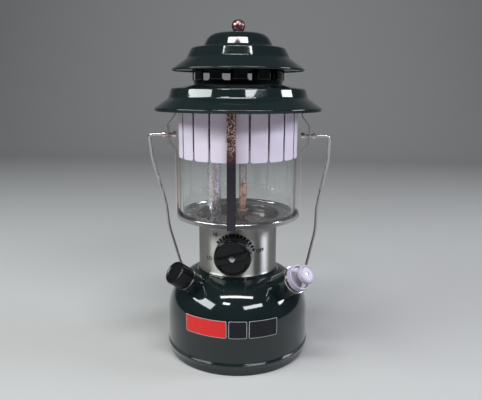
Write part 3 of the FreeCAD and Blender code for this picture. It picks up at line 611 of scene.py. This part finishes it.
class LANTERN_OT_control(Step, bpy.types.Operator):
    """Finish the control knob and the valve behind it"""
    bl_idname = "lantern.control"
    bl_label = "Control and Valve"

    def make(self):
        brass = chosen("brass")
        paint(moulded("Black knob", darker(chosen("black"), 0.7), 0.10, 0.05, 0.24), "control_knob")
        paint(aged_brass("Brass", brass, darker(brass, 0.5)), "valve_body", "packing_nut", "pickup_tube",
              "check_valve", "cup_washer", "generator_nut")
        paint(plated("Stem steel", (0.62, 0.61, 0.60), 0.25), "valve_stem", "knob_screw")


class LANTERN_OT_pump(Step, bpy.types.Operator):
    """Finish the pump"""
    bl_idname = "lantern.pump"
    bl_label = "Pump"

    def make(self):
        paint(moulded("Pale pump plastic", chosen("pump"), 0.30, 0.12), "pump_cap", "pump_knob")
        paint(plated("Pump steel", (0.66, 0.65, 0.64), 0.22), "pump_rod", "air_stem")
        paint(moulded("Oiled leather", (0.10, 0.052, 0.026), 0.5, 0.3), "pump_cup")


class LANTERN_OT_fuel_cap(Step, bpy.types.Operator):
    """Finish the fuel cap"""
    bl_idname = "lantern.fuel_cap"
    bl_label = "Fuel Cap"

    def make(self):
        paint(moulded("Black cap plastic", chosen("black"), 0.18, 0.08, 0.22), "fuel_cap")
        paint(moulded("Black rubber", (0.02, 0.02, 0.02), 0.6, 0.1), "cap_gasket")


class LANTERN_OT_burner(Step, bpy.types.Operator):
    """Finish the burner, the generator and the stud"""
    bl_idname = "lantern.burner"
    bl_label = "Burner"

    def make(self):
        paint(spangled_tube((0.80, 0.78, 0.86), (0.80, 0.48, 0.36)), "air_tube")
        paint(heat_tinted("Burner steel", (0.50, 0.48, 0.46), (0.30, 0.22, 0.20), 251.5 * MM, 281.5 * MM, 0.3),
              "burner_manifold", "burner_screens")
        paint(moulded("Ceramic white", (0.74, 0.70, 0.63), 0.7, 0.4), "burner_caps")
        paint(generator_finish(), "generator")
        paint(threaded("Threaded stud", (0.58, 0.55, 0.52), 0.9 * MM), "centre_stud")
        paint(plated("Nut steel", (0.6, 0.57, 0.54), 0.26), "stud_lock_nut")


class LANTERN_OT_globe(Step, bpy.types.Operator):
    """Glaze the globe and coat its upper half with white panels"""
    bl_idname = "lantern.globe"
    bl_label = "Globe"

    def make(self):
        paint(clear_glass(), "globe")
        size = sizes()
        pitch = 360 / size.panel_count
        radius = GLOBE_R + FROST_LIFT
        width = radians(pitch) * radius - size.panel_gap
        across, up = rounded_patch(width, size.panel_high - size.panel_low, 2.2 * MM, 14)
        middle = (size.panel_high + size.panel_low) / 2
        first = degrees(size.panel_turn) + pitch / 2
        panels = [(wrapped(across, up, radius, first + i * pitch, middle), grid_quads(*across.shape))
                  for i in range(size.panel_count)]
        film("frosted_panels", panels, "globe", frosting(chosen("frosting")))


class LANTERN_OT_mantles(Step, bpy.types.Operator):
    """Tie a knitted mantle under each burner cap"""
    bl_idname = "lantern.mantles"
    bl_label = "Mantles"

    def make(self):
        cloth = knitted((0.84, 0.83, 0.79))
        thread = moulded("Mantle string", (0.80, 0.78, 0.72), 0.85, 0.2)
        for name, y, seed in (("front", -BURNER_Y, 0.0), ("back", BURNER_Y, 1.7)):
            bag = self.bag("mantle_" + name, y, seed, cloth)
            string = self.string("mantle_string_" + name, y, seed, thread)
            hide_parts("mantles")

    def bag(self, name, y, seed, cloth):
        """Bag round (BURNER_X, y), s = 0 at its tie and 1 at its foot. Its radius falls from the neck as (1 - s)
        cubed and swells as a power of the sine of pi s. Pleats and gathers are cosines of the turn that fade away
        from the tie and from the foot."""
        rows, count = 70, 144
        s = np.linspace(0, 1, rows)[:, None]
        turn = np.linspace(0, 2 * pi, count, endpoint=False)[None]
        top, foot, neck = 253.1 * MM, 216.8 * MM, 7.7 * MM
        pleats, gathers = 22, 16
        swell = (sizes().mantle_radius - neck * 0.2) * np.sin(s * pi) ** 0.55 * (0.62 + 0.38 * s)
        frill = 0.10 * np.exp(-((s - 0.03) / 0.05) ** 2)
        pleat = np.cos(pleats * turn + 3 * np.sin(2 * turn + seed)) * np.exp(-s * 6.0) * 0.075
        sag = 0.018 * np.sin(3 * turn + seed + 5 * s) * np.sin(pi * s)
        gather = np.cos(gathers * turn + seed) * np.clip((s - 0.86) / 0.14, 0, 1) * 0.10
        radius = (neck * (1 - s) ** 3 + swell) * (1 + frill) * (1 + pleat + sag + gather)
        radius = np.where(s >= 1, 0.0, radius)
        drop = top - (top - foot) * (s + 0.05 * np.sin(pi * s)) ** 0.96
        z = np.maximum(drop, foot) + 0.0 * turn
        points = np.stack([BURNER_X + radius * np.cos(turn), y + radius * np.sin(turn), z], -1)
        mesh = build_mesh(name, [(points, grid_quads(rows, count, ring=True))])
        self.lay_map(mesh, rows, count)
        piece = add_piece(mesh, "lantern", cloth)
        thicken(piece, 0.30 * MM)
        return piece

    def lay_map(self, mesh, rows, count):
        """Cloth map: round the bag across, down the bag up, one face corner at a time."""
        row, column = np.meshgrid(np.arange(rows - 1), np.arange(count), indexing="ij")
        across = np.stack([column, column + 1, column + 1, column], -1) / count
        up = np.stack([row, row, row + 1, row + 1], -1) / (rows - 1)
        cloth_map = mesh.uv_layers.new(name="cloth")
        cloth_map.data.foreach_set("uv", np.stack([across, up], -1).ravel())

    def string(self, name, y, seed, thread):
        """String wound twice in the cap's groove as a helix, with a bow's two ends, which lean outwards as a sine
        and fall as s to the power 1.5."""
        groove, radius = 250.9 * MM, 8.1 * MM
        s = np.linspace(0, 1, 160)
        turn = 4 * pi * s + seed
        wound = np.stack([BURNER_X + radius * np.cos(turn), y + radius * np.sin(turn), groove + 0.75 * MM * s], -1)
        parts = [cord(wound, 0.36 * MM)]
        s = np.linspace(0, 1, 24)
        reach = radius + (1.6 * np.sin(pi * s) + 0.5) * MM
        fall = groove + 0.4 * MM - 7 * MM * s ** 1.5
        for side in (-1, 1):
            turn = seed + side * (0.10 + 0.35 * s)
            end = np.stack([BURNER_X + reach * np.cos(turn), y + reach * np.sin(turn), fall], -1)
            parts.append(cord(end, 0.33 * MM))
        return add_piece(build_mesh(name, parts), "lantern", thread)


class LANTERN_OT_label(Step, bpy.types.Operator):
    """Lay the plain label fields on the fount"""
    bl_idname = "lantern.label"
    bl_label = "Label"

    def make(self):
        red, black = printed("Red label ink", chosen("label"), 0.22), printed("Black label ink", INK_BLACK)
        grey = printed("Grey label edge", (0.42, 0.43, 0.42))
        for name, left, right, ink in (("label_red", -37.3, -2.7, red), ("label_black_middle", -1.2, 12.4, black),
                                       ("label_black_right", 13.9, 36.4, black)):
            self.field(name + "_edge", left, right, 0.0, 0.25 * MM, grey)
            self.field(name, left, right, 1.0 * MM, 0.30 * MM, ink)

    def field(self, name, left, right, inset, lift, ink):
        """Rounded field on the fount between two azimuths in degrees, less an inset, at a lift over the wall."""
        size = sizes()
        width = radians(right - left) * FOUNT_R - inset
        across, up = rounded_patch(width, size.label_height - inset, 1.3 * MM, 40)
        place = wrapped(across, up, FOUNT_R + lift, (left + right) / 2, size.label_middle)
        film(name, [(place, grid_quads(*across.shape))], "lantern", ink, LABEL_DEPTH)


class LANTERN_OT_stage(Step, bpy.types.Operator):
    """Pale floor and backdrop, soft lights and the camera"""
    bl_idname = "lantern.stage"
    bl_label = "Studio"

    def make(self):
        bpy.context.scene.view_settings.view_transform = "Standard"
        self.backdrop()
        self.sky()
        self.light("Left window", -64, 34, (1.15, 0.42), 20, (0.93, 1.0, 0.97))
        self.light("Front lamp", -19, 47, (0.28, 0.14), 3.5, (1.0, 1.0, 1.0))
        self.light("Front right box", 36, 38, (0.85, 0.22), 10, (0.90, 0.94, 1.0))
        self.light("Right box", 94, 25, (0.55, 0.34), 12, (0.84, 0.89, 1.0))
        self.light("Ceiling", 3, 68, (1.3, 0.18), 16, (1.0, 0.98, 0.96))
        self.camera()

    def backdrop(self):
        """Floor that bends up into a wall behind: flat, then a quarter circle y = behind + bend sin t,
        z = bend (1 - cos t), then upright."""
        behind, bend = 1.6, 0.9
        floor = np.array([-6.0, -3.5, -2.0, -1.0, -0.5, 0.0, 0.5, 1.0, behind])
        wall = np.array([1.6, 2.4, 3.2])
        t = np.linspace(0, pi / 2, 25)[1:]
        y = np.concatenate([floor, behind + bend * np.sin(t), behind + bend + 0 * wall])
        z = np.concatenate([0 * floor, bend * (1 - np.cos(t)), wall])
        x, y = np.meshgrid(np.linspace(-6, 6, 25), y)
        mesh = build_mesh("backdrop", [(np.stack([x, y, z[:, None] + 0 * x], -1), grid_quads(*x.shape))])
        tidy_mesh(mesh, outward=False)
        paper = Finish("Pale paper", (0.42, 0.42, 0.42))
        paper.set("Roughness", 0.7 + paper.noise(50 * MM, 3.0) * 0.15)
        mesh.materials.append(paper.material)
        sheet = bpy.data.objects.new("backdrop", mesh)
        bpy.context.scene.collection.objects.link(sheet)

    def sky(self):
        """Dim light from all round."""
        world = bpy.data.worlds.new("Studio air")
        world.use_nodes = True
        background = world.node_tree.nodes["Background"]
        background.inputs["Color"].default_value = (0.32, 0.34, 0.37, 1.0)
        background.inputs["Strength"].default_value = 0.15
        bpy.context.scene.world = world

    def light(self, name, azimuth, elevation, size, power, tint):
        """Soft box at a fixed reach from the lantern's middle, an azimuth and elevation in degrees, facing it."""
        middle, reach = Vector((0, 0, 0.17)), 1.6
        lamp = bpy.data.lights.new(name, "AREA")
        lamp.shape = "RECTANGLE"
        lamp.size, lamp.size_y = size
        lamp.energy = power
        lamp.color = tint
        box = bpy.data.objects.new(name, lamp)
        turn, rise = radians(azimuth), radians(elevation)
        away = Vector((sin(turn) * cos(rise), -cos(turn) * cos(rise), sin(rise)))
        box.location = middle + reach * away
        box.rotation_euler = away.to_track_quat("Z", "Y").to_euler()
        bpy.context.scene.collection.objects.link(box)

    def camera(self):
        """Camera at the photograph's viewing angle: 482 pixels wide, at a focal length of 511.1 pixels."""
        lens = bpy.data.cameras.new("Camera")
        lens.sensor_width = 36.0
        lens.lens = lens.sensor_width * 511.1 / 482
        lens.clip_start = 0.05
        seat = bpy.data.objects.new("Camera", lens)
        seat.location = (0.0508, -0.5376, 0.2788)
        down, roll, turn = radians(11.93), radians(-0.25), radians(5.09)
        seat.rotation_euler = (pi / 2 - down, roll, turn)
        bpy.context.scene.collection.objects.link(seat)
        bpy.context.scene.camera = seat


STEPS = (LANTERN_OT_enamel, LANTERN_OT_frame, LANTERN_OT_collar, LANTERN_OT_control, LANTERN_OT_pump,
         LANTERN_OT_fuel_cap, LANTERN_OT_burner, LANTERN_OT_globe, LANTERN_OT_mantles, LANTERN_OT_label,
         LANTERN_OT_stage)


class LANTERN_PT_steps(bpy.types.Panel):
    """Lists the lantern's settings and steps in the sidebar"""
    bl_label = "White Gas Lantern"
    bl_space_type = "VIEW_3D"
    bl_region_type = "UI"
    bl_category = "Lantern"

    def draw(self, context):
        for group in (context.scene.lantern_sizes, context.scene.lantern_colours):
            for name in group.__annotations__:
                self.layout.prop(group, name)
        for step in STEPS:
            self.layout.operator(step.bl_idname)


CLASSES = (LanternSizes, LanternColours, *STEPS, LANTERN_PT_steps)


def register():
    for kind in CLASSES:
        bpy.utils.register_class(kind)
    bpy.types.Scene.lantern_sizes = bpy.props.PointerProperty(type=LanternSizes)
    bpy.types.Scene.lantern_colours = bpy.props.PointerProperty(type=LanternColours)


def unregister():
    del bpy.types.Scene.lantern_colours
    del bpy.types.Scene.lantern_sizes
    for kind in reversed(CLASSES):
        bpy.utils.unregister_class(kind)


def main():
    register()
    for step in STEPS:
        group, name = step.bl_idname.split(".")
        getattr(getattr(bpy.ops, group), name)()


if __name__ == "__main__":
    main()
